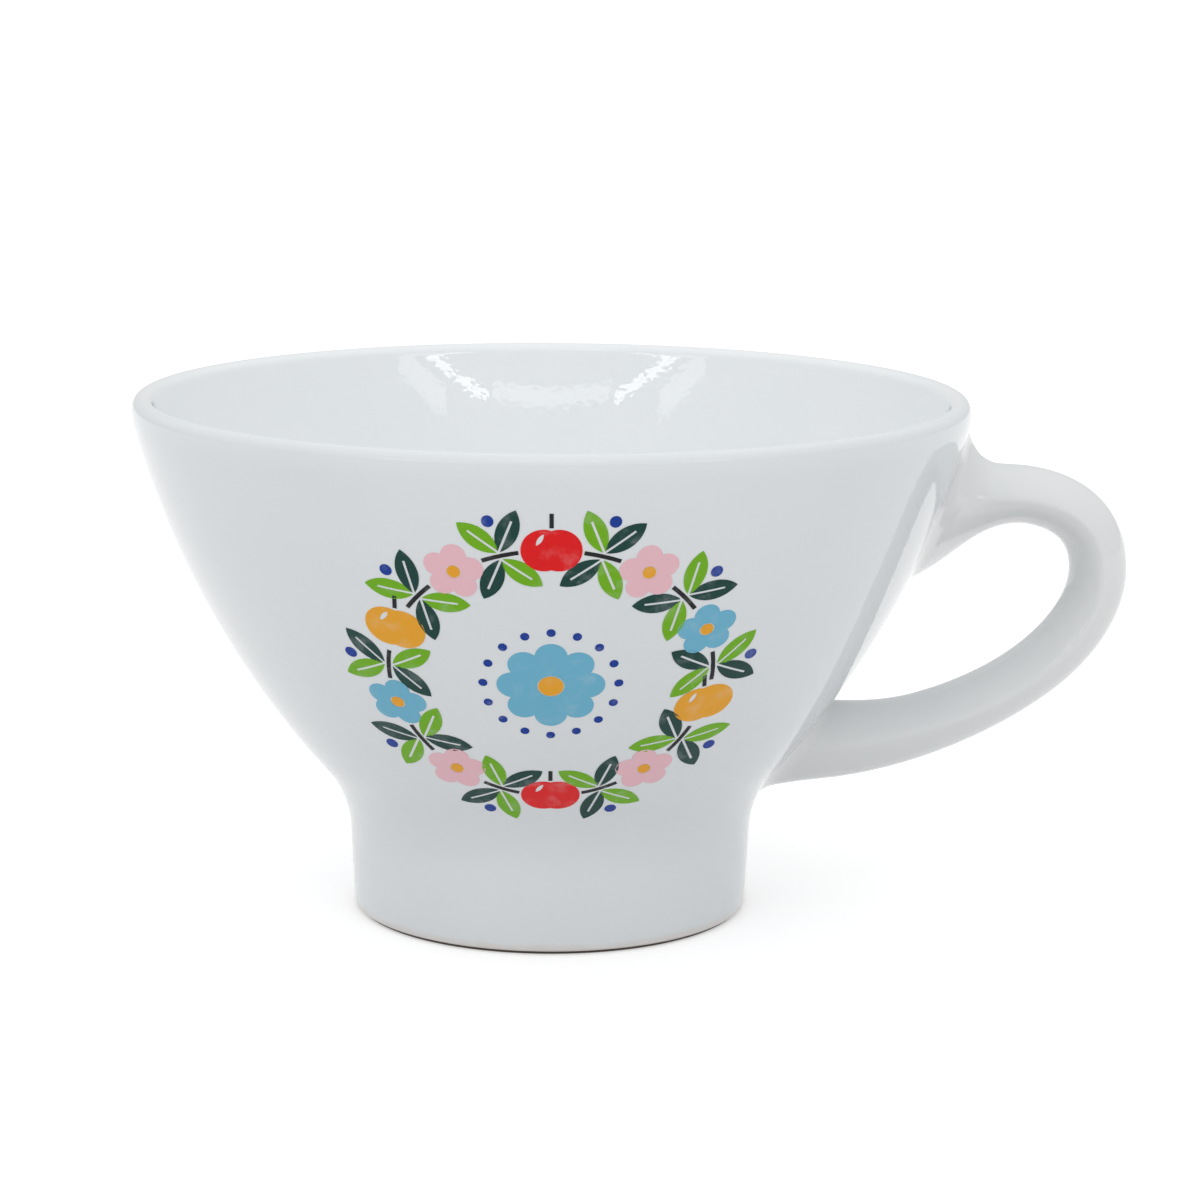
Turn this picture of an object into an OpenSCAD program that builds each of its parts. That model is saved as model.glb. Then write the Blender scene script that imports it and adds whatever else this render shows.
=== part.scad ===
// Cider bowl: a wide bowed cup on a tall hollow foot, with one ear-shaped strap handle.
// Three clay pieces are stuck together with slip, coated with white glaze and printed.
// The axis is Z and the foot stands on Z = 0. The handle points along +X, the print faces -Y.
// Sizes are those of the glazed bowl, and the clay lies one coat of glaze under them.

/* [Bowl] */
// Outside diameter at the lip
rim_d = 120; // [110:1:130]
// Height from the foot's base to the lip's crest
bowl_h = 75.4; // [70:0.1:80]
// Lean of the wall just under the lip, from upright
rim_lean = 14.7; // [12:0.1:18]
// Radius of the bend that brings the wall upright at the lip
lip_bend_r = 8.8; // [7:0.1:12]
// Radius of the lip's outer edge
lip_r = 1.6; // [1.3:0.1:1.9]
// Thickness of the clay wall
wall_t = 2.6; // [2.3:0.1:3.2]
// Thickness of the clay floor
floor_t = 6; // [4:0.5:8]
// Radius where the inside wall turns into the floor
floor_round_r = 20; // [14:1:26]

/* [Foot] */
// Diameter of the foot at its base
foot_d = 57.4; // [52:0.2:62]
// Diameter of the foot where it meets the cove
foot_top_d = 58.4; // [54:0.2:63]
// Height of the foot up to the bowl's underside
foot_h = 10.8; // [9:0.2:13]
// Radius of the cove between the foot and the wall
cove_r = 16.2; // [12:0.1:20]
// Thickness of the foot ring's clay wall
foot_wall_t = 5; // [4:0.5:8]
// Radius of the foot ring's worn edges
foot_edge_r = 0.6; // [0.4:0.1:1]
// Height of the dry edge that the glaze leaves bare
dry_edge_h = 0.8; // [0.7:0.1:2]

/* [Handle] */
// How far the handle stands out past the lip
handle_out = 23.5; // [19:0.1:28]
// Thickness of the strap
handle_t = 8.3; // [7:0.1:10]
// Width of the strap
handle_w = 13.5; // [11:0.5:16]
// Depth of the upper root's middle below the lip's crest
upper_drop = 18.7; // [17:0.1:20]
// Depth of the strap's outermost point below the lip's crest
outermost_drop = 25.6; // [24:0.1:28]
// Height of the lower root's middle above the foot
lower_rise = 11.5; // [10:0.1:14]
// Height of the upper root where it spreads on the wall
upper_root_h = 22.8; // [20:0.2:25]
// Height of the lower root where it spreads on the wall
lower_root_h = 15.6; // [14:0.2:18]
// Width that the upper root spreads to at the wall
upper_root_w = 32; // [24:0.5:34]
// Width that the lower root spreads to at the wall
lower_root_w = 24; // [18:0.5:26]
// Extra height of the smoothed slip on the wall above the upper root
upper_fillet = 6.5; // [3:0.1:7]
// Extra height of the smoothed slip on the wall below the lower root
lower_fillet = 1.5; // [0.5:0.1:3]
// Sharpness of the ridge along both sides of the strap, from 0 for a plain oval
ridge = 0.6; // [0:0.05:0.7]

/* [Coats] */
// Thickness of the glaze
glaze_t = 0.4; // [0.3:0.05:0.5]
// Thickness of the slip between two clay pieces
slip_t = 0.6; // [0.55:0.05:0.9]
// Thickness of the printed colours
film_t = 0.07; // [0.05:0.01:0.1]

/* [Print] */
// Depth of the wreath's middle below the lip's crest
wreath_drop = 32.5; // [30:0.5:35]
// Radius of the wreath's stem
wreath_r = 21.5; // [19:0.5:22.5]
// Number of fruits and flowers around the wreath
wreath_count = 10; // [8:2:12]
// Width of the drawn lines
line_w = 0.55; // [0.4:0.05:0.8]
// Width of the bare line in a leaf
vein_w = 0.35; // [0.25:0.05:0.5]

/* [Hidden] */
$fn = 128;

clay = [0.72, 0.52, 0.38];
slip = [0.66, 0.47, 0.34];
white = [0.93, 0.94, 0.95];

// Steps along each curve of the section
lip_steps = 6;
bend_steps = 4;
bow_steps = 22;
cove_steps = 8;
edge_steps = 5;

// The section's curves, as [radius, height] centres and radii
lean_dir = [cos(rim_lean), -sin(rim_lean)];
lip_c = [rim_d / 2 - lip_r, bowl_h - lip_r];
bend_c = [rim_d / 2 - lip_bend_r, lip_c.y];
cove_c = [foot_top_d / 2 + cove_r, foot_h];
// The wall's bow is the one arc that runs on from the bend and touches the cove
bend_end = bend_c + lip_bend_r * lean_dir;
to_cove = cove_c - bend_end;
bow_r = (to_cove * to_cove - cove_r * cove_r) / (2 * (cove_r - to_cove * lean_dir));
bow_c = bend_end - bow_r * lean_dir;
bow_end = atan2(bow_c.y - cove_c.y, cove_c.x - bow_c.x);

// The inside runs parallel to the wall and turns into a flat floor
inner_r = bow_r - wall_t - 2 * glaze_t;
crest_x = lip_c.x - bow_c.x;
crest_y = bowl_h - bow_c.y;
inner_lip_r = (crest_x * crest_x + crest_y * crest_y - inner_r * inner_r) / (2 * (inner_r + crest_y));
inner_lip_c = [lip_c.x, bowl_h - inner_lip_r];
inner_lip_end = atan2(bow_c.y - inner_lip_c.y, inner_lip_c.x - bow_c.x);
floor_z = foot_h + floor_t + glaze_t;
floor_c_y = floor_z + floor_round_r;
floor_c_x = bow_c.x + sqrt(pow(inner_r - floor_round_r, 2) - pow(floor_c_y - bow_c.y, 2));
floor_c = [floor_c_x, floor_c_y];
floor_end = atan2(bow_c.y - floor_c.y, floor_c.x - bow_c.x);

// The foot's clay ring
foot_outer_r = foot_d / 2 - glaze_t;
foot_top_r = foot_top_d / 2 - glaze_t;
foot_inner_r = foot_outer_r - foot_wall_t;

// Points on an arc from angle a to angle b, without the first one
function arc(c, r, a, b, steps) =
    [for (i = [1:steps]) let (t = a + (b - a) * i / steps) c + r * [cos(t), sin(t)]];

// The outside from the crest down to the foot's base, moved outwards by d
function outer_line(d) = concat(
    [lip_c + [0, lip_r + d]],
    arc(lip_c, lip_r + d, 90, 0, lip_steps),
    arc(bend_c, lip_bend_r + d, 0, -rim_lean, bend_steps),
    arc(bow_c, bow_r + d, -rim_lean, -bow_end, bow_steps),
    arc(cove_c, cove_r - d, 180 - bow_end, 180, cove_steps),
    [[foot_d / 2 + d, 0]]
);

// The inside from the crest down to the middle of the floor, moved into the hollow by d
function inner_line(d) = concat(
    [inner_lip_c + [0, inner_lip_r + d]],
    arc(inner_lip_c, inner_lip_r + d, 90, 180 - inner_lip_end, lip_steps),
    arc(bow_c, inner_r - d, -inner_lip_end, -floor_end, bow_steps),
    arc(floor_c, floor_round_r - d, -floor_end, -90, cove_steps),
    [[0, floor_z + d]]
);

function reversed(points) = [for (i = [len(points) - 1:-1:0]) points[i]];

// Radius of the glazed wall at a height on its bow
function wall_r(z) = bow_c.x + sqrt(bow_r * bow_r - pow(z - bow_c.y, 2));
// Lean of the wall from upright at that height
function wall_lean(z) = asin((bow_c.y - z) / bow_r);

module band_above(z) {
    translate([0, z])
        square([rim_d, bowl_h]);
}

// Everything within the outside moved outwards by d, as one turned solid
module outside(d) {
    rotate_extrude()
        polygon(concat(outer_line(d), [[0, 0], [0, bowl_h + d]]));
}

// The coat between two distances from the outside, above a height
module outside_coat(low, high, from_z) {
    rotate_extrude()
        intersection() {
            polygon(concat(outer_line(high), reversed(outer_line(low))));
            band_above(from_z);
        }
}

module bowl() {
    color(clay)
        rotate_extrude()
            intersection() {
                polygon(concat(outer_line(-glaze_t), [[0, 0]], reversed(inner_line(-glaze_t))));
                band_above(foot_h);
            }
}

module foot_ring() {
    top_z = foot_h - slip_t;
    inner_edge_c = [foot_inner_r + foot_edge_r, foot_edge_r];
    outer_edge_c = [foot_outer_r - foot_edge_r, foot_edge_r];
    color(clay)
        rotate_extrude()
            polygon(concat(
                [[foot_top_r, top_z], [foot_inner_r, top_z], [foot_inner_r, foot_edge_r]],
                arc(inner_edge_c, foot_edge_r, 180, 270, edge_steps),
                [outer_edge_c - [0, foot_edge_r]],
                arc(outer_edge_c, foot_edge_r, 270, 360, edge_steps)
            ));
}

module foot_slip_joint() {
    color(slip)
        translate([0, 0, foot_h - slip_t])
            rotate_extrude()
                polygon([[foot_inner_r, 0], [foot_top_r, 0], [foot_top_r, slip_t], [foot_inner_r, slip_t]]);
}

// The strap's middle line: two smooth curves that leave the roots and meet at the outermost point.
// Lists hold the value of the upper end first and that of the lower end second.
strap_steps = 24;
strap_sides = 24;
// Rings crowd towards the roots by these powers
ring_crowd = [1.6, 1.9];
// How far the strap's ends start under the glazed wall, before they are trimmed
strap_depth = 3.2;
// Lengths and slopes of the arms that shape the two curves
root_arm = [10.3, 32.9];
root_arm_rise = [28.2, -0.3];
outer_arm = [13.7, 10.1];
// Shares of a curve over which its end grows higher, outside and inside the loop
outer_flare = [0.43, 0.53];
inner_flare = [0.53, 0.27];
// Share of a curve over which its section turns away from the wall
turn_l = 0.32;
// How far from the wall the smoothed slip reaches, and how far along the strap its ends are wider
fillet_reach = 6.4;
wide_reach = [12, 6];
root_z = [bowl_h - upper_drop, foot_h + lower_rise];
root_h = [upper_root_h, lower_root_h];
root_w = [upper_root_w, lower_root_w];
root_fillet = [upper_fillet, lower_fillet];
outermost = [rim_d / 2 + handle_out - handle_t / 2, bowl_h - outermost_drop];
// The loop's outside is above the upper end and below the lower one
out_sign = [1, -1];

// A point on the wall's bow, sunk under the glazed surface by a depth
function wall_point(z, depth) = [wall_r(z), z] - depth * [cos(wall_lean(z)), -sin(wall_lean(z))];
// The wall's own direction upwards at a height
function wall_up(z) = [sin(wall_lean(z)), cos(wall_lean(z))];

function strap_curve(end) =
    let (
        start = wall_point(root_z[end], strap_depth),
        arm = root_arm[end] * [cos(root_arm_rise[end]), sin(root_arm_rise[end])]
    )
    [start, start + arm, outermost + [0, out_sign[end] * outer_arm[end]], outermost];

function bezier(p, t) =
    pow(1 - t, 3) * p[0] + 3 * t * pow(1 - t, 2) * p[1] + 3 * t * t * (1 - t) * p[2] + pow(t, 3) * p[3];
function bezier_dir(p, t) =
    let (d = pow(1 - t, 2) * (p[1] - p[0]) + 2 * t * (1 - t) * (p[2] - p[1]) + t * t * (p[3] - p[2]))
    d / norm(d);

// From 1 at the root to 0 at a length from it
function fade(t, length) = pow(max(0, 1 - t / length), 2);

// Share of the section's half height: an oval drawn in towards a ridge where its two faces meet
function face_share(c, sharpness) = (1 - sharpness) * c + sharpness * c * abs(c);

// One ring of the strap, at share t of the curve from one end, grown all round
function strap_ring(end, t, grow) =
    let (
        curve = strap_curve(end),
        middle = bezier(curve, t),
        dir = bezier_dir(curve, t),
        across = out_sign[end] * [-dir.y, dir.x],
        wall_dir = out_sign[end] * wall_up(root_z[end]),
        turned = across + fade(t, turn_l) * (wall_dir - across),
        up = turned / norm(turned),
        wide = fade(norm(middle - curve[0]), wide_reach[end]),
        root_grow = (root_h[end] - handle_t) / 2,
        plain_h = handle_t / 2 + fade(t, outer_flare[end]) * root_grow,
        skin_gap = max(0, norm(middle + plain_h * up - bow_c) - bow_r),
        outer_h = plain_h + fade(skin_gap, fillet_reach) * root_fillet[end] + grow,
        inner_h = handle_t / 2 + fade(t, inner_flare[end]) * root_grow + grow,
        half_w = handle_w / 2 + wide * (root_w[end] - handle_w) / 2 + grow
    )
    [for (i = [0:strap_sides - 1])
        let (
            a = 360 * i / strap_sides,
            share = face_share(cos(a), ridge * (1 - wide)),
            p = middle + (cos(a) > 0 ? outer_h : inner_h) * share * up
        )
        [p.x, half_w * sin(a), p.y]];

// The share from a root of ring number i
function ring_share(end, i) = pow(i / strap_steps, ring_crowd[end]);

function strap_rings(grow) = concat(
    [for (i = [0:strap_steps]) strap_ring(0, ring_share(0, i), grow)],
    [for (i = [strap_steps - 1:-1:0]) strap_ring(1, ring_share(1, i), grow)]
);

// Faces between rings that follow each other, from point number start on.
// They face outwards if out is true, and inwards if not.
function tube_faces(rings, start, out) =
    let (n = strap_sides)
    [for (k = [0:len(rings) - 2], i = [0:n - 1])
        let (a = start + k * n + i, b = start + k * n + (i + 1) % n)
        out ? [a, b, b + n, a + n] : [a, a + n, b + n, b]];

module strap(grow) {
    rings = strap_rings(grow);
    n = strap_sides;
    last = n * (len(rings) - 1);
    polyhedron(
        points = [for (ring = rings) each ring],
        faces = concat(
            tube_faces(rings, 0, true),
            [[for (i = [n - 1:-1:0]) i], [for (i = [0:n - 1]) last + i]]
        )
    );
}

// A sleeve around the strap, between two growths
module strap_sleeve(low, high) {
    rings = strap_rings(high);
    n = strap_sides;
    inner = n * len(rings);
    last = inner - n;
    polyhedron(
        points = [for (ring = concat(rings, strap_rings(low))) each ring],
        faces = concat(
            tube_faces(rings, 0, true),
            tube_faces(rings, inner, false),
            [for (i = [0:n - 1])
                let (j = (i + 1) % n)
                [j, i, inner + i, inner + j]],
            [for (i = [0:n - 1])
                let (j = (i + 1) % n)
                [last + i, last + j, last + inner + j, last + inner + i]]
        )
    );
}

module handle() {
    color(clay)
        difference() {
            strap(-glaze_t);
            outside(slip_t - glaze_t);
        }
}

// The slip under those ends of the strap that lie between two heights
between_roots_z = (root_z[0] + root_z[1]) / 2;

module root_slip(low, high) {
    color(slip)
        intersection() {
            strap(-glaze_t);
            outside_coat(-glaze_t, slip_t - glaze_t, 0);
            translate([0, -rim_d / 2, low])
                cube([rim_d, rim_d, high - low]);
        }
}

module upper_handle_slip() {
    root_slip(between_roots_z, bowl_h);
}

module lower_handle_slip() {
    root_slip(0, between_roots_z);
}

module inner_glaze() {
    color(white)
        rotate_extrude()
            polygon(concat(inner_line(0), reversed(inner_line(-glaze_t))));
}

module outer_glaze() {
    color(white)
        difference() {
            outside_coat(-glaze_t, 0, dry_edge_h);
            strap(-glaze_t);
        }
}

module handle_glaze() {
    color(white)
        difference() {
            strap_sleeve(-glaze_t, 0);
            outside(0);
        }
}

module foot_hollow_glaze() {
    coat_r = foot_inner_r - glaze_t;
    color(white)
        rotate_extrude()
            polygon([
                [foot_inner_r, dry_edge_h], [foot_inner_r, foot_h], [0, foot_h],
                [0, foot_h - glaze_t], [coat_r, foot_h - glaze_t], [coat_r, dry_edge_h]
            ]);
}

// The print is drawn flat on the plane that touches the wall at the wreath's middle.
// Then it is laid back onto the wall.
wreath_z = bowl_h - wreath_drop;
wreath_step = 360 / wreath_count;
// Distance between the middles of two stations
station_gap = 2 * wreath_r * sin(wreath_step / 2);
// Bare gap between two colours
print_gap = 0.25;
// How far the flat drawing reaches behind and before that plane
print_back = wall_r(wreath_z) / 2;
print_front = wreath_r / 5;
// Fruits, flowers and leaves are shares of the distance between two stations
fruit_share = 0.3;
flower_share = 0.3;
leaf_l_share = 0.49;
leaf_w_share = 0.22;
berry_r_share = 0.06;
fruit_r = station_gap * fruit_share;
flower_r = station_gap * flower_share;
leaf_l = station_gap * leaf_l_share;
leaf_w = station_gap * leaf_w_share;
berry_r = station_gap * berry_r_share;
// Radius of the flower in the middle
rosette_r = wreath_r / 3;
// Fruits and flowers follow each other in rounds of this many
round_count = 5;
// Leaves lean away from the stem's radius, and berries sit between the leaf tips
leaf_lean = 38;
leaf_start = line_w / 2 + print_gap;
berry_place = leaf_start + leaf_l * 0.7;
// A fruit is two round lobes
fruit_lobe_r = fruit_r * 3 / 4;
// Petals and eyes of the two kinds of flower
flower_petals = 5;
petal_share = 0.42;
petal_r = flower_r * petal_share;
eye_r = flower_r / 4;
rosette_petals = 8;
rosette_petal_share = 0.3;
rosette_petal_r = rosette_r * rosette_petal_share;
rosette_eye_r = rosette_r / 4;
dot_count = 16;
// Half of the angle that one stretch of stem takes between two stations
stem_half_angle = wreath_step / 2 - asin((max(fruit_r, flower_r) + print_gap) / wreath_r);

module printed(tint) {
    color(tint)
        intersection() {
            outside_coat(0, film_t, foot_h);
            translate([0, -wall_r(wreath_z), wreath_z])
                rotate([90 + wall_lean(wreath_z), 0, 0])
                    translate([0, 0, -print_back])
                        linear_extrude(print_back + print_front)
                            children();
        }
}

// A pointed shape from the origin along +X, between two arcs
module pointed(l, w) {
    r = (l * l + w * w) / (4 * w);
    translate([l / 2, 0])
        intersection() {
            translate([0, r - w / 2])
                circle(r);
            translate([0, w / 2 - r])
                circle(r);
        }
}

// A leaf with a bare vein over most of its length
module leaf() {
    difference() {
        pointed(leaf_l, leaf_w);
        translate([-leaf_l / 4, -vein_w / 2])
            square([leaf_l, vein_w]);
    }
}

// Round petals in a ring, around a bare eye
module petals(r, count, petal_r, eye_r) {
    difference() {
        union() {
            for (i = [0:count - 1])
                rotate(90 + 360 * i / count)
                    translate([r - petal_r, 0])
                        circle(petal_r);
            circle(r - petal_r);
        }
        circle(eye_r);
    }
}

// A round fruit with a bare glint
module fruit() {
    difference() {
        for (side = [-1, 1])
            translate([side * (fruit_r - fruit_lobe_r), 0])
                circle(fruit_lobe_r);
        translate([-fruit_r / 2, fruit_r / 6])
            rotate(60)
                pointed(fruit_r / 2, fruit_r / 6);
    }
}

// Copies at those stations of each round that picks names, counted from the top of the wreath
module stations(picks) {
    for (i = [0:wreath_count - 1])
        if (len(search(i % round_count, picks)) > 0)
            rotate(wreath_step * i)
                translate([0, wreath_r])
                    rotate(-wreath_step * i)
                        children();
}

// Copies halfway between the stations, at a distance from the stem
module between_stations(distance) {
    for (i = [0:wreath_count - 1])
        rotate(wreath_step * (i + 0.5))
            translate([0, wreath_r + distance])
                children();
}

// One leaf outside and one inside the wreath at each stretch of stem
module leaves(lean) {
    for (out = [-1, 1])
        between_stations(out * leaf_start)
            rotate(out * 90 + lean)
                leaf();
}

// One stretch of the wreath's stem, centred on +X
module stem() {
    difference() {
        circle(wreath_r + line_w / 2);
        circle(wreath_r - line_w / 2);
        for (side = [0, 1])
            mirror([0, side])
                rotate(stem_half_angle)
                    translate([-2 * wreath_r, 0])
                        square(4 * wreath_r);
    }
}

module print_black() {
    stalk_l = fruit_r / 2;
    printed([0.08, 0.08, 0.09]) {
        for (i = [0:wreath_count - 1])
            rotate(90 + wreath_step * (i + 0.5))
                stem();
        stations([0, 2])
            translate([-line_w / 2, fruit_lobe_r + print_gap])
                square([line_w, stalk_l]);
    }
}

module print_green() {
    printed([0.42, 0.67, 0.13])
        leaves(leaf_lean);
}

module print_teal() {
    printed([0.02, 0.33, 0.29])
        leaves(-leaf_lean);
}

module print_red() {
    printed([0.86, 0.11, 0.14])
        stations([0])
            fruit();
}

module print_gold() {
    printed([0.95, 0.66, 0.13]) {
        stations([2])
            fruit();
        stations([1, 3, 4])
            circle(eye_r - print_gap / 2);
        circle(rosette_eye_r - print_gap / 2);
    }
}

module print_pink() {
    printed([0.96, 0.68, 0.74])
        stations([1, 4])
            petals(flower_r, flower_petals, petal_r, eye_r);
}

module print_blue() {
    printed([0.42, 0.70, 0.87]) {
        stations([3])
            petals(flower_r, flower_petals, petal_r, eye_r);
        petals(rosette_r, rosette_petals, rosette_petal_r, rosette_eye_r);
    }
}

// Berries outside the wreath, and dots around the flower in the middle
module print_navy() {
    dot_r = berry_r * 3 / 4;
    printed([0.10, 0.20, 0.55]) {
        between_stations(berry_place)
            circle(berry_r);
        for (i = [0:dot_count - 1])
            rotate(360 * i / dot_count)
                translate([rosette_r + 3 * dot_r, 0])
                    circle(dot_r);
    }
}

bowl();
foot_ring();
handle();
foot_slip_joint();
upper_handle_slip();
lower_handle_slip();
inner_glaze();
outer_glaze();
handle_glaze();
foot_hollow_glaze();
print_black();
print_green();
print_teal();
print_red();
print_gold();
print_pink();
print_blue();
print_navy();
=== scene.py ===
# Cider bowl: a wide white cup on a tall foot, with one ear-shaped handle and a printed wreath.
# Lengths are in millimetres and angles in degrees; make_piece turns a drawn mesh into metres.

import functools
import math

import bmesh
import bpy
from mathutils import Matrix, Vector


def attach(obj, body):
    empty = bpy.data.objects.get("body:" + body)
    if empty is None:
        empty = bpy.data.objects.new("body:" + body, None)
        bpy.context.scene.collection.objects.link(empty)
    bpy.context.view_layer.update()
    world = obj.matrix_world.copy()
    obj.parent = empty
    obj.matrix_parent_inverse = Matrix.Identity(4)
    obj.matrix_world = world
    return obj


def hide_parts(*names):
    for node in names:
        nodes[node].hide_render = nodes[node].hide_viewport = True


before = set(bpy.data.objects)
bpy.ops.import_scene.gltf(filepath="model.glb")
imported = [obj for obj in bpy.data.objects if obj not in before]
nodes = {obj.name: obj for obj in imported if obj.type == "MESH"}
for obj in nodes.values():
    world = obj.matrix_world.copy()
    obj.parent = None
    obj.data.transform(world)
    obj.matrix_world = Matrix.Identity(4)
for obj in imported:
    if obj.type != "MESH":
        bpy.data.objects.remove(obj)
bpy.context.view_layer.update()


# The clay: a jiggered bowl, a cast strap handle and a turned foot ring, of buff earthenware.
# Slip, the same clay stirred thin, sticks them together before the first firing.
# Glaze hides nearly all of it: only the foot's wiped edge stands bare on the table.
foot_base_r = 28.3
foot_top_r = 28.8
foot_inner_r = 23.3
foot_h = 10.8
foot_slip_t = 0.6
foot_edge_r = 0.6
spin_steps = 256
sharp_angle = 50
quarter_runs = (0.25, 0.5, 0.75, 1)
clay_pale = (0.66, 0.50, 0.385, 1)
clay_dark = (0.50, 0.335, 0.235, 1)
# Near-black for the foot's lower outer edge: grime together with a painted contact shadow
clay_grime_and_shadow = (0.055, 0.040, 0.034, 1)
slip_pale = (0.60, 0.44, 0.33, 1)
slip_dark = (0.45, 0.30, 0.21, 1)
clay_roughness = 0.85
blotches_per_m = 260
sand_per_m = 3500
# Grime and a painted contact shadow darken the foot's bottom edge; they fade out between two heights, and
# between two depths in from the foot's outer edge
grime_and_shadow_h = (0.4, 1.0)
grime_and_shadow_in = (1.5, 0.3)


def feed(tree, socket, value):
    """Links a socket into another one, or sets a plain value there."""
    if isinstance(value, bpy.types.NodeSocket):
        tree.links.new(value, socket)
    else:
        socket.default_value = value


def add_node(tree, kind, **inputs):
    """Adds a shader node and feeds its inputs, named with underscores for spaces."""
    node = tree.nodes.new(kind)
    for name, value in inputs.items():
        feed(tree, node.inputs[name.replace("_", " ")], value)
    return node


def mix_colours(tree, share, first, second):
    """Mixes two colours by a share from 0 to 1."""
    mix = tree.nodes.new("ShaderNodeMix")
    mix.data_type = "RGBA"
    feed(tree, mix.inputs[0], share)
    feed(tree, mix.inputs[6], first)
    feed(tree, mix.inputs[7], second)
    return mix.outputs[2]


def calculate(tree, operation, first, second):
    """One step of arithmetic on two values."""
    step = tree.nodes.new("ShaderNodeMath")
    step.operation = operation
    feed(tree, step.inputs[0], first)
    feed(tree, step.inputs[1], second)
    return step.outputs[0]


def ramp(tree, value, low, high, at_low, at_high):
    """Runs smoothly from at_low to at_high while the value goes from low to high."""
    node = add_node(
        tree, "ShaderNodeMapRange", Value=value,
        From_Min=low, From_Max=high, To_Min=at_low, To_Max=at_high,
    )
    node.interpolation_type = "SMOOTHSTEP"
    return node.outputs["Result"]


def diagonal(tree, first, second):
    """The diagonal of a rectangle from its two sides."""
    corner = add_node(tree, "ShaderNodeCombineXYZ", X=first, Y=second)
    length = tree.nodes.new("ShaderNodeVectorMath")
    length.operation = "LENGTH"
    feed(tree, length.inputs[0], corner.outputs["Vector"])
    return length.outputs["Value"]


def noise(tree, place, scale, detail):
    """Soft blotches; the scale counts them per metre."""
    return add_node(tree, "ShaderNodeTexNoise", Vector=place, Scale=scale, Detail=detail).outputs["Fac"]


def new_group(name, inputs, outputs):
    """An empty shader group with named sockets, and its two end nodes."""
    group = bpy.data.node_groups.new(name, "ShaderNodeTree")
    for socket, kind in inputs.items():
        group.interface.new_socket(socket, in_out="INPUT", socket_type=kind)
    for socket, kind in outputs.items():
        group.interface.new_socket(socket, in_out="OUTPUT", socket_type=kind)
    return group, group.nodes.new("NodeGroupInput"), group.nodes.new("NodeGroupOutput")


def place_group(tree, group, **inputs):
    """Puts a shader group into a material, with its own values."""
    node = tree.nodes.new("ShaderNodeGroup")
    node.node_tree = group
    for name, value in inputs.items():
        feed(tree, node.inputs[name.replace("_", " ")], value)
    return node


def object_place(tree):
    """The point's own place on the object."""
    return tree.nodes.new("ShaderNodeTexCoord").outputs["Object"]


def new_material(name, colour):
    """An empty material with its tree and its shader."""
    material = bpy.data.materials.new(name)
    material.use_nodes = True
    material.diffuse_color = colour
    return material, material.node_tree, material.node_tree.nodes["Principled BSDF"]


clay_grain, grain_in, grain_out = new_group(
    "clay_grain",
    {"Pale": "NodeSocketColor", "Dark": "NodeSocketColor"},
    {"Colour": "NodeSocketColor", "Height": "NodeSocketFloat"},
)
grain_place = object_place(clay_grain)
grain_blotches = noise(clay_grain, grain_place, blotches_per_m, 5)
grain_sand = noise(clay_grain, grain_place, sand_per_m, 2)
grain_share = calculate(clay_grain, "MULTIPLY", grain_blotches, grain_sand)
feed(clay_grain, grain_out.inputs["Colour"], mix_colours(
    clay_grain, ramp(clay_grain, grain_share, 0.18, 0.36, 0, 1),
    grain_in.outputs["Pale"], grain_in.outputs["Dark"],
))
feed(clay_grain, grain_out.inputs["Height"], grain_sand)


def earthen_material(name, pale, dark):
    """Bare fired clay: matt, sandy, slightly uneven in colour, and darkened along the foot's outer edge by
    grime and a painted contact shadow.
    """
    material, tree, shader = new_material(name, pale)
    grain = place_group(tree, clay_grain, Pale=pale, Dark=dark)
    bump = add_node(tree, "ShaderNodeBump", Strength=0.5, Distance=0.0001, Height=grain.outputs["Height"])
    place = add_node(tree, "ShaderNodeSeparateXYZ", Vector=object_place(tree)).outputs
    # The near-black on the foot's lower outer edge is grime and a painted contact shadow, darkest next to the
    # floor
    low = ramp(tree, place["Z"], grime_and_shadow_h[0] / 1000, grime_and_shadow_h[1] / 1000, 0.95, 0)
    grime_and_shadow_r = [(foot_base_r - depth) / 1000 for depth in grime_and_shadow_in]
    outside = ramp(tree, diagonal(tree, place["X"], place["Y"]), grime_and_shadow_r[0], grime_and_shadow_r[1], 0.15, 1)
    grime_and_shadow = calculate(tree, "MULTIPLY", low, outside)
    feed(tree, shader.inputs["Base Color"], mix_colours(tree, grime_and_shadow, grain.outputs["Colour"], clay_grime_and_shadow))
    feed(tree, shader.inputs["Normal"], bump.outputs["Normal"])
    shader.inputs["Roughness"].default_value = clay_roughness
    return material


clay = earthen_material("fired_clay", clay_pale, clay_dark)
slip = earthen_material("fired_slip", slip_pale, slip_dark)
for name in ("bowl", "handle"):
    nodes[name].data.materials[0] = clay
for name in ("foot_slip_joint", "upper_handle_slip", "lower_handle_slip"):
    nodes[name].data.materials[0] = slip


def run_straight(bm, point, x, z):
    """Runs the profile straight on to a new point."""
    end = bmesh.ops.extrude_vert_indiv(bm, verts=[point])["verts"][0]
    end.co = (x, 0, z)
    return end


def run_arc(bm, point, centre, degrees, steps):
    """Runs the profile on along an arc; positive degrees turn from up to outwards."""
    spun = bmesh.ops.spin(
        bm, geom=[point], cent=(centre[0], 0, centre[1]), axis=(0, 1, 0),
        angle=math.radians(degrees), steps=steps,
    )
    return [item for item in spun["geom_last"] if isinstance(item, bmesh.types.BMVert)][0]


def spin_profile(bm):
    """Turns the drawn profile into a closed round shell."""
    bmesh.ops.spin(
        bm, geom=bm.verts[:] + bm.edges[:], cent=(0, 0, 0), axis=(0, 0, 1),
        angle=math.tau, steps=spin_steps, use_merge=True,
    )


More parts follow.
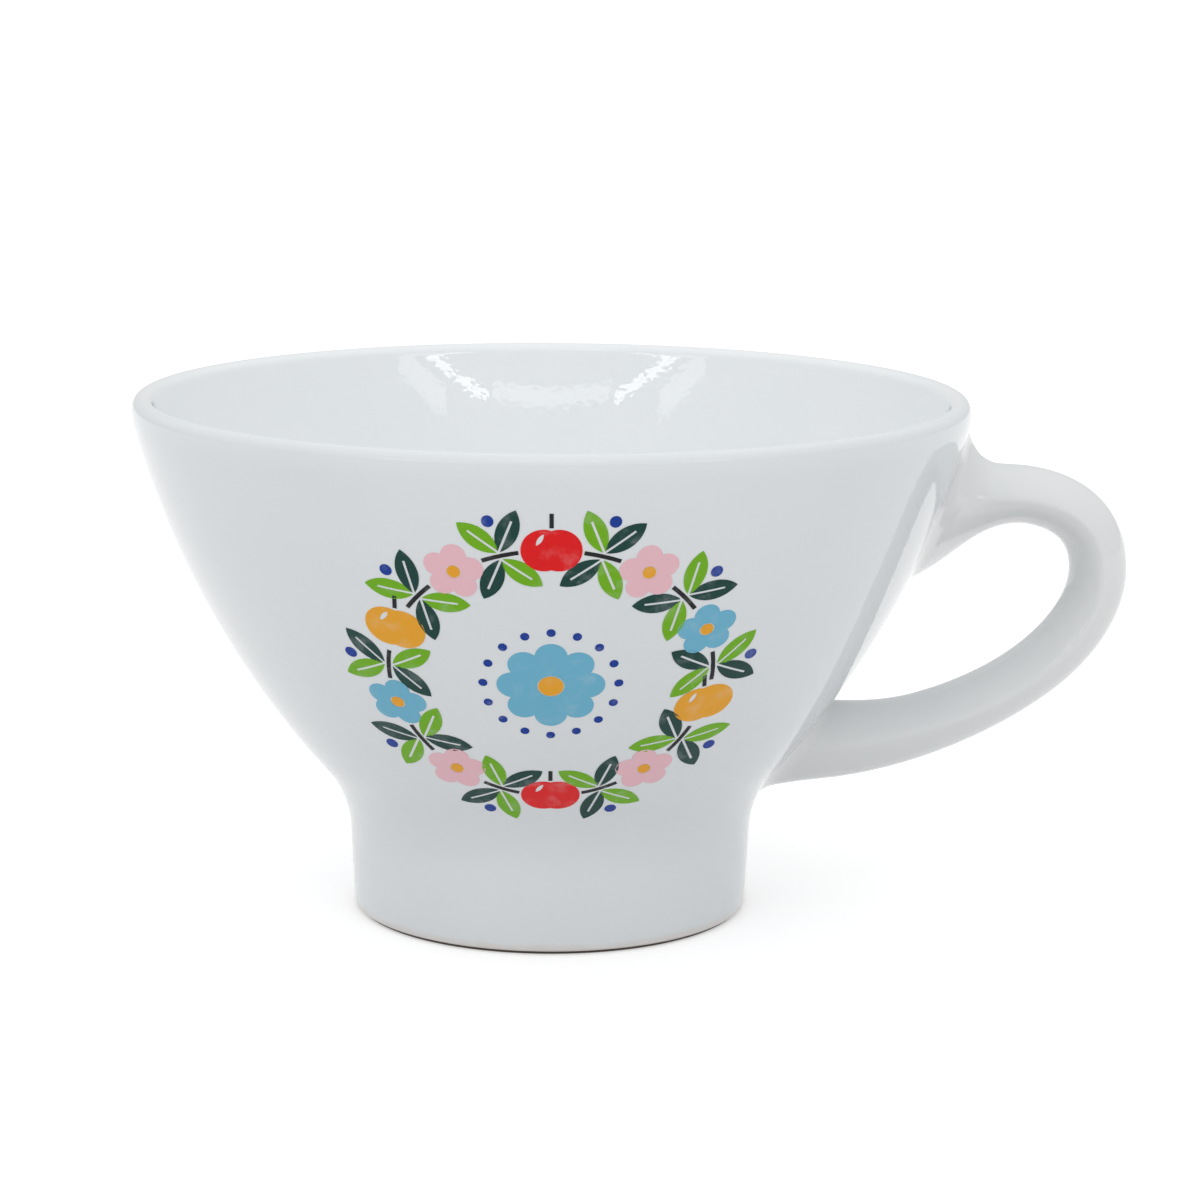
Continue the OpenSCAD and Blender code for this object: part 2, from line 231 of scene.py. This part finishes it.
def make_piece(bm, name, material, slot, *replaced):
    """Makes a mesh drawn in millimetres a smooth piece that stands for some solids."""
    bmesh.ops.remove_doubles(bm, verts=bm.verts, dist=0.001)
    bmesh.ops.recalc_face_normals(bm, faces=bm.faces)
    bmesh.ops.scale(bm, vec=(0.001, 0.001, 0.001), verts=bm.verts)
    mesh = bpy.data.meshes.new(name)
    bm.to_mesh(mesh)
    bm.free()
    mesh.shade_smooth()
    mesh.set_sharp_from_angle(angle=math.radians(sharp_angle))
    mesh.materials.append(material)
    piece = bpy.data.objects.new(name, mesh)
    bpy.context.scene.collection.objects.link(piece)
    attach(piece, "root")
    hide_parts(*replaced)
    return piece


foot_bm = bmesh.new()
foot_start = foot_bm.verts.new((foot_inner_r, 0, foot_h - foot_slip_t))
foot_line = run_straight(foot_bm, foot_start, foot_inner_r, foot_edge_r)
foot_line = run_arc(foot_bm, foot_line, (foot_inner_r + foot_edge_r, foot_edge_r), -90, 8)
base_w = foot_base_r - foot_inner_r - 2 * foot_edge_r
for share in quarter_runs:
    foot_line = run_straight(foot_bm, foot_line, foot_inner_r + foot_edge_r + share * base_w, 0)
foot_line = run_arc(foot_bm, foot_line, (foot_base_r - foot_edge_r, foot_edge_r), -90, 8)
foot_line = run_straight(foot_bm, foot_line, foot_top_r, foot_h - foot_slip_t)
foot_bm.edges.new((foot_line, foot_start))
spin_profile(foot_bm)
make_piece(foot_bm, "turned_foot", clay, "clay", "foot_ring")


# The bowl's coat of white tin glaze, poured inside and dipped outside, one skin over the lip.
# It follows the clay closely, and ends in a soft roll above the foot's wiped edge.
rim_r = 60
bowl_h = 75.4
rim_lean = 14.7
lip_bend_r = 8.8
lip_r = 1.6
wall_t = 2.6
floor_t = 6
floor_round_r = 20
cove_r = 16.2
glaze_t = 0.4
dry_edge_h = 0.5
glaze_white = (0.771, 0.802, 0.822, 1)
glaze_cool = (0.755, 0.790, 0.816, 1)
# Whiter tones for the inside of the bowl: painted light, for the light that falls in from above
inside_lit_white = (0.874, 0.900, 0.912, 1)
inside_lit_cool = (0.856, 0.887, 0.905, 1)
glaze_thin = (0.68, 0.55, 0.45, 1)
speck_grey = (0.30, 0.29, 0.28, 1)
glaze_ior = 1.5
pools_per_m = 30
specks_per_m = 62
speck_share = 0.022
waves_per_m = 45
peel_per_m = 1200
# The glaze goes from thin to full between two heights, and that edge wanders up and down
thin_h = (0.2, 1.2)
thin_wander = 1.2
wanders_per_m = 120

# The curves of the bowl's section, as centres in radius and height; the bow touches the bend and the cove
lean_dir = Vector((math.cos(math.radians(rim_lean)), -math.sin(math.radians(rim_lean))))
lip_c = Vector((rim_r - lip_r, bowl_h - lip_r))
bend_c = Vector((rim_r - lip_bend_r, lip_c.y))
bend_end = bend_c + lip_bend_r * lean_dir
cove_c = Vector((foot_top_r + glaze_t + cove_r, foot_h))
to_cove = cove_c - bend_end
bow_r = (to_cove.length_squared - cove_r ** 2) / (2 * (cove_r - to_cove.dot(lean_dir)))
bow_c = bend_end - bow_r * lean_dir
bow_end = math.degrees(math.atan2(bow_c.y - cove_c.y, cove_c.x - bow_c.x))

# Inside, the wall runs parallel to the bow from the lip's crest to a rounded floor
inner_r = bow_r - wall_t - 2 * glaze_t
crest = Vector((lip_c.x, bowl_h)) - bow_c
inner_lip_r = (crest.length_squared - inner_r ** 2) / (2 * (inner_r + crest.y))
inner_lip_c = Vector((lip_c.x, bowl_h - inner_lip_r))
inner_lip_end = math.degrees(math.atan2(bow_c.y - inner_lip_c.y, inner_lip_c.x - bow_c.x))
floor_z = foot_h + floor_t + glaze_t
floor_c_y = floor_z + floor_round_r
floor_c_x = bow_c.x + math.sqrt((inner_r - floor_round_r) ** 2 - (floor_c_y - bow_c.y) ** 2)
floor_c = Vector((floor_c_x, floor_c_y))
floor_end = math.degrees(math.atan2(bow_c.y - floor_c.y, floor_c.x - bow_c.x))

# The arcs of the skin from the foot up, over the lip and down to the floor: centre, turn and steps.
# A short step under the lip's inner edge keeps its rounding out of the wall's shading
lip_hold = 0.15
skin_arcs = (
    (cove_c, bow_end, 14),
    (bow_c, rim_lean - bow_end, 44),
    (bend_c, -rim_lean, 8),
    (lip_c, -90, 10),
    (inner_lip_c, inner_lip_end - 90, 10),
    (bow_c, lip_hold, 1),
    (bow_c, floor_end - inner_lip_end - lip_hold, 40),
    (floor_c, 90 - floor_end, 20),
)
coat_bm = bmesh.new()
foot_out = foot_base_r + glaze_t
edge_z = dry_edge_h + glaze_t
edge_r = foot_out + (foot_top_r - foot_base_r) * edge_z / foot_h
coat_line = coat_bm.verts.new((edge_r, 0, edge_z))
coat_start = coat_line
for share in quarter_runs:
    coat_line = run_straight(
        coat_bm, coat_line,
        edge_r + share * (foot_top_r + glaze_t - edge_r), edge_z + share * (foot_h - edge_z),
    )
for centre, turn, steps in skin_arcs:
    coat_line = run_arc(coat_bm, coat_line, centre, turn, steps)
coat_line = run_straight(coat_bm, coat_line, floor_c.x / 2, floor_z)
coat_line = run_straight(coat_bm, coat_line, 0, floor_z)
# The clay's side of the coat runs back along the same arcs
coat_line = run_straight(coat_bm, coat_line, 0, floor_z - glaze_t)
coat_line = run_straight(coat_bm, coat_line, floor_c.x, floor_z - glaze_t)
for centre, turn, steps in reversed(skin_arcs):
    coat_line = run_arc(coat_bm, coat_line, centre, -turn, steps)
coat_line = run_straight(coat_bm, coat_line, edge_r - glaze_t, dry_edge_h)
roll_end = run_arc(coat_bm, coat_line, (edge_r - glaze_t, edge_z), -90, 6)
coat_bm.edges.new((roll_end, coat_start))
spin_profile(coat_bm)

glaze_skin, skin_in, skin_out = new_group(
    "glaze_skin",
    {"White": "NodeSocketColor", "Cool": "NodeSocketColor"},
    {"Colour": "NodeSocketColor", "Roughness": "NodeSocketFloat", "Normal": "NodeSocketVector"},
)
skin_place = object_place(glaze_skin)
skin_pools = noise(glaze_skin, skin_place, pools_per_m, 3)
skin_colour = mix_colours(
    glaze_skin, ramp(glaze_skin, skin_pools, 0.35, 0.65, 0, 1),
    skin_in.outputs["White"], skin_in.outputs["Cool"],
)
# Iron specks from the clay, a few to the hand's breadth
speck_cells = add_node(glaze_skin, "ShaderNodeTexVoronoi", Vector=skin_place, Scale=specks_per_m)
speck_pick = add_node(glaze_skin, "ShaderNodeSeparateColor", Color=speck_cells.outputs["Color"])
speck_size = ramp(glaze_skin, speck_pick.outputs["Red"], 0.55, 1, 0, speck_share)
speck_edge = calculate(glaze_skin, "SUBTRACT", speck_size, speck_cells.outputs["Distance"])
speck_mask = ramp(glaze_skin, speck_edge, -0.002, 0.008, 0, 0.8)
skin_colour = mix_colours(glaze_skin, speck_mask, skin_colour, speck_grey)
# The glaze thins above the foot's wiped edge, and the clay shines through
skin_height = add_node(glaze_skin, "ShaderNodeSeparateXYZ", Vector=skin_place).outputs["Z"]
edge_noise = noise(glaze_skin, skin_place, wanders_per_m, 2)
edge_wander = calculate(glaze_skin, "MULTIPLY", edge_noise, thin_wander / 1000)
edge_mask = ramp(
    glaze_skin, calculate(glaze_skin, "SUBTRACT", skin_height, edge_wander),
    thin_h[0] / 1000, thin_h[1] / 1000, 0.35, 0,
)
feed(glaze_skin, skin_out.inputs["Colour"], mix_colours(glaze_skin, edge_mask, skin_colour, glaze_thin))
feed(glaze_skin, skin_out.inputs["Roughness"], ramp(glaze_skin, skin_pools, 0.3, 0.7, 0.02, 0.035))
# A slow wave and a fine orange peel, as glaze sets
skin_wave = add_node(
    glaze_skin, "ShaderNodeBump", Strength=0.12, Distance=0.0006,
    Height=noise(glaze_skin, skin_place, waves_per_m, 1),
)
skin_peel = add_node(
    glaze_skin, "ShaderNodeBump", Strength=0.08, Distance=0.0001,
    Height=noise(glaze_skin, skin_place, peel_per_m, 0), Normal=skin_wave.outputs["Normal"],
)
feed(glaze_skin, skin_out.inputs["Normal"], skin_peel.outputs["Normal"])


def glaze_material(name, white, cool):
    """Glossy white glaze, pooled in slightly cooler patches."""
    material, tree, shader = new_material(name, white)
    skin = place_group(tree, glaze_skin, White=white, Cool=cool)
    feed(tree, shader.inputs["Base Color"], skin.outputs["Colour"])
    feed(tree, shader.inputs["Roughness"], skin.outputs["Roughness"])
    feed(tree, shader.inputs["Normal"], skin.outputs["Normal"])
    shader.inputs["IOR"].default_value = glaze_ior
    return material, tree, skin


glaze, glaze_tree, glaze_coat = glaze_material("white_glaze", glaze_white, glaze_cool)

# Inside, the glaze is painted whiter: painted light for the brighter light that falls into the bowl from
# above; a point is inside by its distance from the bow's centre
glaze_place = add_node(glaze_tree, "ShaderNodeSeparateXYZ", Vector=object_place(glaze_tree)).outputs
glaze_out = diagonal(glaze_tree, glaze_place["X"], glaze_place["Y"])
bow_reach = diagonal(
    glaze_tree,
    calculate(glaze_tree, "SUBTRACT", glaze_out, bow_c.x / 1000),
    calculate(glaze_tree, "SUBTRACT", glaze_place["Z"], bow_c.y / 1000),
)
inside_lit_share = ramp(glaze_tree, bow_reach, inner_r / 1000, (inner_r + wall_t) / 1000, 1, 0)
feed(glaze_tree, glaze_coat.inputs["White"], mix_colours(glaze_tree, inside_lit_share, glaze_white, inside_lit_white))
feed(glaze_tree, glaze_coat.inputs["Cool"], mix_colours(glaze_tree, inside_lit_share, glaze_cool, inside_lit_cool))
make_piece(coat_bm, "bowl_glaze", glaze, "white_glaze", "inner_glaze", "outer_glaze")


# The handle's glaze: a strap with a ridge along each side, spread wide at both roots.
# The potter smooths slip into the corners, so the coat runs on into the wall without an edge.
handle_t = 8.3
handle_w = 13.5
handle_ridge = 0.6
handle_out = 23.5
outermost_drop = 25.6
upper_drop = 18.7
lower_rise = 11.5
outermost = Vector((rim_r + handle_out - handle_t / 2, bowl_h - outermost_drop))
fillet_reach = 6.4
turn_l = 0.32
strap_depth = 3.2
strap_sides = 96
strap_steps = 40
corner_steps = 14
# The two ends, keyed by the side of the loop that they are on: 1 above and -1 below
root_z = {1: bowl_h - upper_drop, -1: foot_h + lower_rise}
root_h = {1: 22.8, -1: 15.6}
root_w = {1: 32, -1: 24}
root_fillet = {1: 6.5, -1: 1.5}
root_arm = {1: 10.3, -1: 32.9}
root_arm_rise = {1: 28.2, -1: -0.3}
outer_arm = {1: 13.7, -1: -10.1}
outer_flare = {1: 0.43, -1: 0.53}
inner_flare = {1: 0.53, -1: 0.27}
wide_reach = {1: 12, -1: 6}
# The corner's blend is tight inside the loop, which counts as -1, and widens towards the outside, 1.
# From wide_from on it keeps its width
tight_corner = {1: 0.8, -1: 1.2}
wide_corner = {1: 3.4, -1: 2.0}
wide_from = 0.5
# Past its end the blend dips under the bowl's glaze: the depth at each share beyond the end
sunk_depths = {1.5: 0.15, 1.3: 0.02, 1.12: 0.003}
# The handle's glaze is set a little greyer and less blue than the bowl's
strap_white = (0.774, 0.788, 0.794, 1)
strap_cool = (0.758, 0.776, 0.786, 1)
# The search for the wall goes this far along the strap from a root, in so many halvings
search_share = 0.6
search_steps = 30


def wall_gap(point):
    """How far a point lies outside the bowl's glaze, and the way straight out of it there."""
    flat = Vector((math.hypot(point.x, point.y), point.z))
    below = math.degrees(math.atan2(bow_c.y - flat.y, flat.x - bow_c.x))
    if below > bow_end:
        away = cove_c - flat
        gap = cove_r - away.length
    elif below < rim_lean:
        away = flat - bend_c
        gap = away.length - lip_bend_r
    else:
        away = flat - bow_c
        gap = away.length - bow_r
    away.normalize()
    return gap, Vector((away.x * point.x / flat.x, away.x * point.y / flat.x, away.y))


def onto_wall(point):
    """The point of the bowl's glaze that lies closest."""
    gap, out = wall_gap(point)
    return point - gap * out


def fade(distance, length):
    """From 1 at a root to 0 at a length from it."""
    return max(0, 1 - distance / length) ** 2


def root_lean(side):
    """The wall's lean from upright at a root, in radians."""
    return math.asin((bow_c.y - root_z[side]) / bow_r)


def root_curve(side):
    """The strap's middle line from a root to the outermost point, as four curve points."""
    lean = root_lean(side)
    wall_out = Vector((math.cos(lean), -math.sin(lean)))
    start = bow_c + (bow_r - strap_depth) * wall_out
    rise = math.radians(root_arm_rise[side])
    arm = root_arm[side] * Vector((math.cos(rise), math.sin(rise)))
    return start, start + arm, outermost + Vector((0, outer_arm[side])), outermost


@functools.cache
def strap_frame(side, share):
    """The strap's middle, its way out of the loop, its two half heights, its half width and its ridge."""
    a, b, c, d = root_curve(side)
    t = share
    middle = (1 - t) ** 3 * a + 3 * t * (1 - t) ** 2 * b + 3 * t * t * (1 - t) * c + t ** 3 * d
    along = (1 - t) ** 2 * (b - a) + 2 * t * (1 - t) * (c - b) + t * t * (d - c)
    along.normalize()
    across = side * Vector((-along.y, along.x))
    wall_up = side * Vector((math.sin(root_lean(side)), math.cos(root_lean(side))))
    out = across.lerp(wall_up, fade(t, turn_l)).normalized()
    wide = fade((middle - a).length, wide_reach[side])
    grown_h = (root_h[side] - handle_t) / 2
    plain_h = handle_t / 2 + fade(t, outer_flare[side]) * grown_h
    skin_gap = max(0, (middle + plain_h * out - bow_c).length - bow_r)
    outer_h = plain_h + fade(skin_gap, fillet_reach) * root_fillet[side]
    inner_h = handle_t / 2 + fade(t, inner_flare[side]) * grown_h
    half_w = handle_w / 2 + wide * (root_w[side] - handle_w) / 2
    return middle, out, outer_h, inner_h, half_w, handle_ridge * (1 - wide)


def strap_point(side, share, c, s):
    """A point of the strap's skin; c goes out of the loop and s across the strap, as on a circle."""
    middle, out, outer_h, inner_h, half_w, ridge = strap_frame(side, share)
    height = outer_h if c > 0 else inner_h
    flat = middle + height * ((1 - ridge) * c + ridge * c * abs(c)) * out
    return Vector((flat.x, half_w * s, flat.y))


@functools.cache
def share_at_gap(side, c, s, gap):
    """The share from a root at which a line of the strap's skin stands off the wall by a gap."""
    low, high = 0, search_share
    for _ in range(search_steps):
        middle = (low + high) / 2
        if wall_gap(strap_point(side, middle, c, s))[0] < gap:
            low = middle
        else:
            high = middle
    return high


def corner_size(side, c):
    """How far the corner's blend reaches up the strap and along the wall."""
    share = min(1, (c + 1) / (wide_from + 1))
    return tight_corner[side] + share ** 2 * (3 - 2 * share) * (wide_corner[side] - tight_corner[side])


@functools.cache
def corner_line(side, c, s):
    """The blend's start on the strap, the crease that it rounds, and its end on the wall."""
    size = corner_size(side, c)
    start = strap_point(side, share_at_gap(side, c, s, size), c, s)
    crease_share = share_at_gap(side, c, s, 0)
    crease = strap_point(side, crease_share, c, s)
    out = strap_frame(side, crease_share)[1]
    spread_dir = Vector((c * out.x, s, c * out.y))
    wall_out = wall_gap(crease)[1]
    spread_dir -= spread_dir.dot(wall_out) * wall_out
    end = onto_wall(crease + size * spread_dir.normalized())
    return start, crease, end


def corner_point(side, c, s, share):
    """A point of the blend from the strap's skin, at share 0, to the wall, at share 1."""
    start, crease, end = corner_line(side, c, s)
    end_out = wall_gap(end)[1]
    back = crease - end
    back -= back.dot(end_out) * end_out
    corner = end + back
    if share > 1:
        return onto_wall(end - (share - 1) * back) - sunk_depths[share] * end_out
    return (1 - share) ** 2 * start + 2 * share * (1 - share) * corner + share ** 2 * end


def add_ring(bm, place):
    """Adds a circle, moves its points to where place puts them, and gives its edges."""
    ring = bmesh.ops.create_circle(bm, segments=strap_sides, radius=1)["verts"]
    edges = list(dict.fromkeys(edge for vert in ring for edge in vert.link_edges))
    for vert in ring:
        vert.co = place(vert.co.x, vert.co.y)
    return edges


def root_rings(bm, side):
    """The rings of one half of the strap, from under the wall to just before the outermost point."""
    shares = list(sunk_depths) + [1 - i / corner_steps for i in range(corner_steps)]
    rings = [
        add_ring(bm, lambda c, s, share=share: corner_point(side, c, s, share)) for share in shares
    ]
    for i in range(strap_steps):
        def place(c, s, run=i / strap_steps):
            start = share_at_gap(side, c, s, corner_size(side, c))
            return strap_point(side, start + run * (1 - start), c, s)
        rings.append(add_ring(bm, place))
    return rings


strap_bm = bmesh.new()
upper_rings = root_rings(strap_bm, 1)
outermost_ring = add_ring(strap_bm, lambda c, s: strap_point(1, 1, c, s))
lower_rings = root_rings(strap_bm, -1)
strap_rings = upper_rings + [outermost_ring] + lower_rings[::-1]
for first, second in zip(strap_rings, strap_rings[1:]):
    bmesh.ops.bridge_loops(strap_bm, edges=first + second)
strap_glaze = glaze_material("strap_glaze", strap_white, strap_cool)[0]
handle_coat = make_piece(strap_bm, "handle_glaze_coat", strap_glaze, "white_glaze", "handle_glaze")
coat_wall = handle_coat.modifiers.new("coat", "SOLIDIFY")
coat_wall.thickness = glaze_t / 1000
coat_wall.offset = -1


# The glaze inside the hollow foot, from the same dip as the outside of the bowl.
# It pools thicker in the corner under the floor, and ends level with the outer coat.
hollow_r = foot_inner_r - glaze_t
hollow_z = foot_h - glaze_t
hollow_round_r = 3
hollow_bm = bmesh.new()
hollow_start = hollow_bm.verts.new((0, 0, hollow_z))
hollow_line = run_straight(hollow_bm, hollow_start, (hollow_r - hollow_round_r) / 2, hollow_z)
hollow_line = run_straight(hollow_bm, hollow_line, hollow_r - hollow_round_r, hollow_z)
hollow_line = run_arc(
    hollow_bm, hollow_line, (hollow_r - hollow_round_r, hollow_z - hollow_round_r), 90, 10,
)
hollow_line = run_straight(hollow_bm, hollow_line, hollow_r, edge_z)
hollow_line = run_arc(hollow_bm, hollow_line, (foot_inner_r, edge_z), -90, 6)
hollow_line = run_straight(hollow_bm, hollow_line, foot_inner_r, foot_h)
hollow_line = run_straight(hollow_bm, hollow_line, 0, foot_h)
hollow_bm.edges.new((hollow_line, hollow_start))
spin_profile(hollow_bm)
make_piece(hollow_bm, "foot_hollow_coat", glaze, "white_glaze", "foot_hollow_glaze")


# The printed wreath: eight enamel colours, screened onto a transfer and fired into the glaze.
# Each colour is a thin raised film, slightly uneven in tone and softer in gloss than the glaze.
enamel_colours = {
    "black": (0.008, 0.009, 0.010, 1),
    "green": (0.165, 0.440, 0.004, 1),
    "teal": (0.002, 0.048, 0.039, 1),
    "red": (0.780, 0.002, 0.005, 1),
    "gold": (0.840, 0.380, 0.021, 1),
    "pink": (0.850, 0.515, 0.577, 1),
    "blue": (0.158, 0.463, 0.644, 1),
    "navy": (0.001, 0.038, 0.306, 1),
}
clouds_per_m = 380
screen_per_m = 4200
ink_fade = 0.22
film_gloss = 0.2
print_ink, ink_in, ink_out = new_group(
    "print_ink",
    {"Ink": "NodeSocketColor"},
    {"Colour": "NodeSocketColor", "Roughness": "NodeSocketFloat", "Height": "NodeSocketFloat"},
)
ink_place = object_place(print_ink)
ink_cloud = noise(print_ink, ink_place, clouds_per_m, 3)
ink_screen = noise(print_ink, ink_place, screen_per_m, 1)
ink_thin = calculate(print_ink, "MULTIPLY", ramp(print_ink, ink_cloud, 0.5, 0.75, 0, 1), ink_screen)
ink_share = calculate(print_ink, "MULTIPLY", ink_thin, ink_fade)
feed(print_ink, ink_out.inputs["Colour"], mix_colours(
    print_ink, ink_share, ink_in.outputs["Ink"], glaze_white,
))
feed(print_ink, ink_out.inputs["Roughness"], ramp(print_ink, ink_cloud, 0.3, 0.7, 0.12, 0.2))
feed(print_ink, ink_out.inputs["Height"], ink_cloud)
for name, colour in enamel_colours.items():
    enamel, enamel_tree, enamel_shader = new_material("enamel_" + name, colour)
    ink = place_group(enamel_tree, print_ink, Ink=colour)
    ink_bump = add_node(
        enamel_tree, "ShaderNodeBump", Strength=0.1, Distance=0.00005, Height=ink.outputs["Height"],
    )
    feed(enamel_tree, enamel_shader.inputs["Base Color"], ink.outputs["Colour"])
    feed(enamel_tree, enamel_shader.inputs["Roughness"], ink.outputs["Roughness"])
    feed(enamel_tree, enamel_shader.inputs["Normal"], ink_bump.outputs["Normal"])
    enamel_shader.inputs["Specular IOR Level"].default_value = film_gloss
    nodes["print_" + name].data.materials[0] = enamel


# The studio: a pale floor inside a soft white tent, lit most from its roof.
# A dim bar, two thin strips and two dim boxes in front mirror in the bowl's far wall.
# A high bar mirrors on the handle. The floor and the lights are in metres.
floor_pale = (0.78, 0.78, 0.78, 1)
floor_half = 30
floor_lift = 0.42
tent_side = (0.75, 0.75, 0.75, 1)
tent_slope = (0.84, 0.84, 0.84, 1)
tent_slope_right = (0.76, 0.76, 0.76, 1)
tent_roof = (1.09, 1.09, 1.09, 1)
tent_back = (0.72, 0.72, 0.72, 1)
strip_centre = Vector((0, 0, 0.06))
strip_away = 1.3
floor_bm = bmesh.new()
bmesh.ops.create_grid(floor_bm, x_segments=1, y_segments=1, size=floor_half)
floor_mesh = bpy.data.meshes.new("floor")
floor_bm.to_mesh(floor_mesh)
floor_bm.free()
floor_material, floor_tree, floor_shader = new_material("pale_floor", floor_pale)
floor_shader.inputs["Base Color"].default_value = floor_pale
floor_shader.inputs["Roughness"].default_value = 1
floor_shader.inputs["Specular IOR Level"].default_value = 0
floor_shader.inputs["Emission Color"].default_value = (1, 1, 1, 1)
# Only where it is seen, straight or in a mirror, the floor is lifted to white
floor_rays = floor_tree.nodes.new("ShaderNodeLightPath")
floor_seen = calculate(
    floor_tree, "ADD", floor_rays.outputs["Is Camera Ray"], floor_rays.outputs["Is Glossy Ray"],
)
floor_seen = calculate(floor_tree, "ADD", floor_seen, floor_rays.outputs["Is Transmission Ray"])
feed(
    floor_tree, floor_shader.inputs["Emission Strength"],
    calculate(floor_tree, "MULTIPLY", floor_seen, floor_lift),
)
floor_mesh.materials.append(floor_material)
studio_floor = bpy.data.objects.new("floor", floor_mesh)
bpy.context.scene.collection.objects.link(studio_floor)

studio = bpy.data.worlds.new("studio")
studio.use_nodes = True
bpy.context.scene.world = studio
tent_tree = studio.node_tree
tent_way = tent_tree.nodes.new("ShaderNodeTexCoord").outputs["Generated"]


def towards(turn, rise):
    """The way from the bowl to the front, turned towards +X and raised, in degrees."""
    turn, rise = math.radians(turn), math.radians(rise)
    return Vector((math.sin(turn) * math.cos(rise), -math.cos(turn) * math.cos(rise), math.sin(rise)))


def tent_along(way):
    """How closely a ray into the tent follows a way, from -1 to 1."""
    product = tent_tree.nodes.new("ShaderNodeVectorMath")
    product.operation = "DOT_PRODUCT"
    feed(tent_tree, product.inputs[0], tent_way)
    feed(tent_tree, product.inputs[1], way)
    return product.outputs["Value"]


tent_turn = ramp(tent_tree, tent_along(towards(90, 0)), 0.2, 0.95, 0, 1)
tent_rise = tent_along(towards(0, 90))
tent_wall = mix_colours(tent_tree, tent_turn, tent_slope, tent_slope_right)
tent_colour = mix_colours(tent_tree, ramp(tent_tree, tent_rise, 0.1, 0.45, 0, 1), tent_side, tent_wall)
tent_colour = mix_colours(tent_tree, ramp(tent_tree, tent_rise, 0.6, 0.95, 0, 1), tent_colour, tent_roof)
tent_end = ramp(tent_tree, tent_along(towards(180, 0)), 0.76, 0.9, 0, 1)
tent_colour = mix_colours(tent_tree, tent_end, tent_colour, tent_back)
feed(tent_tree, tent_tree.nodes["Background"].inputs["Color"], tent_colour)


def add_strip(name, first, second, thickness, watts):
    """A soft strip light between two ways from the bowl, facing it."""
    start = strip_centre + strip_away * towards(*first)
    end = strip_centre + strip_away * towards(*second)
    light = bpy.data.lights.new(name, "AREA")
    light.shape = "RECTANGLE"
    light.size = (end - start).length
    light.size_y = thickness
    light.energy = watts
    back = ((start + end) / 2 - strip_centre).normalized()
    run = (end - start).normalized()
    lamp = bpy.data.objects.new(name, light)
    turn = Matrix((run, back.cross(run), back)).transposed()
    lamp.matrix_world = Matrix.Translation((start + end) / 2) @ turn.to_4x4()
    lamp.visible_camera = False
    bpy.context.scene.collection.objects.link(lamp)


add_strip("front_bar", (-20, 26.8), (20, 26.8), 0.057, 0.24)
add_strip("high_bar", (-24, 50), (16, 50), 0.05, 0.5)
for side_name, side in (("left", -1), ("right", 1)):
    add_strip(side_name + "_strip", (side * 22, 27.6), (side * 46, 17.8), 0.032, 0.27)
    add_strip(side_name + "_box", (side * 37, 27.3), (side * 50, 20.3), 0.09, 0.14)

bpy.context.scene.view_settings.view_transform = "Standard"

# The camera stands as the photograph's did, fitted to the bowl's outline, in metres and degrees
camera_place = Vector((0, -0.48766, 0.14129))
camera_aim = Vector((0.00708, 0, 0.04497))
camera_roll = 0.43
camera = bpy.data.cameras.new("camera")
camera.lens = 102.65
camera.sensor_width = 36
camera_turn = (camera_aim - camera_place).to_track_quat("-Z", "Y").to_matrix()
camera_turn = camera_turn @ Matrix.Rotation(math.radians(camera_roll), 3, "Z")
camera_object = bpy.data.objects.new("camera", camera)
camera_object.matrix_world = Matrix.Translation(camera_place) @ camera_turn.to_4x4()
bpy.context.scene.collection.objects.link(camera_object)
bpy.context.scene.camera = camera_object
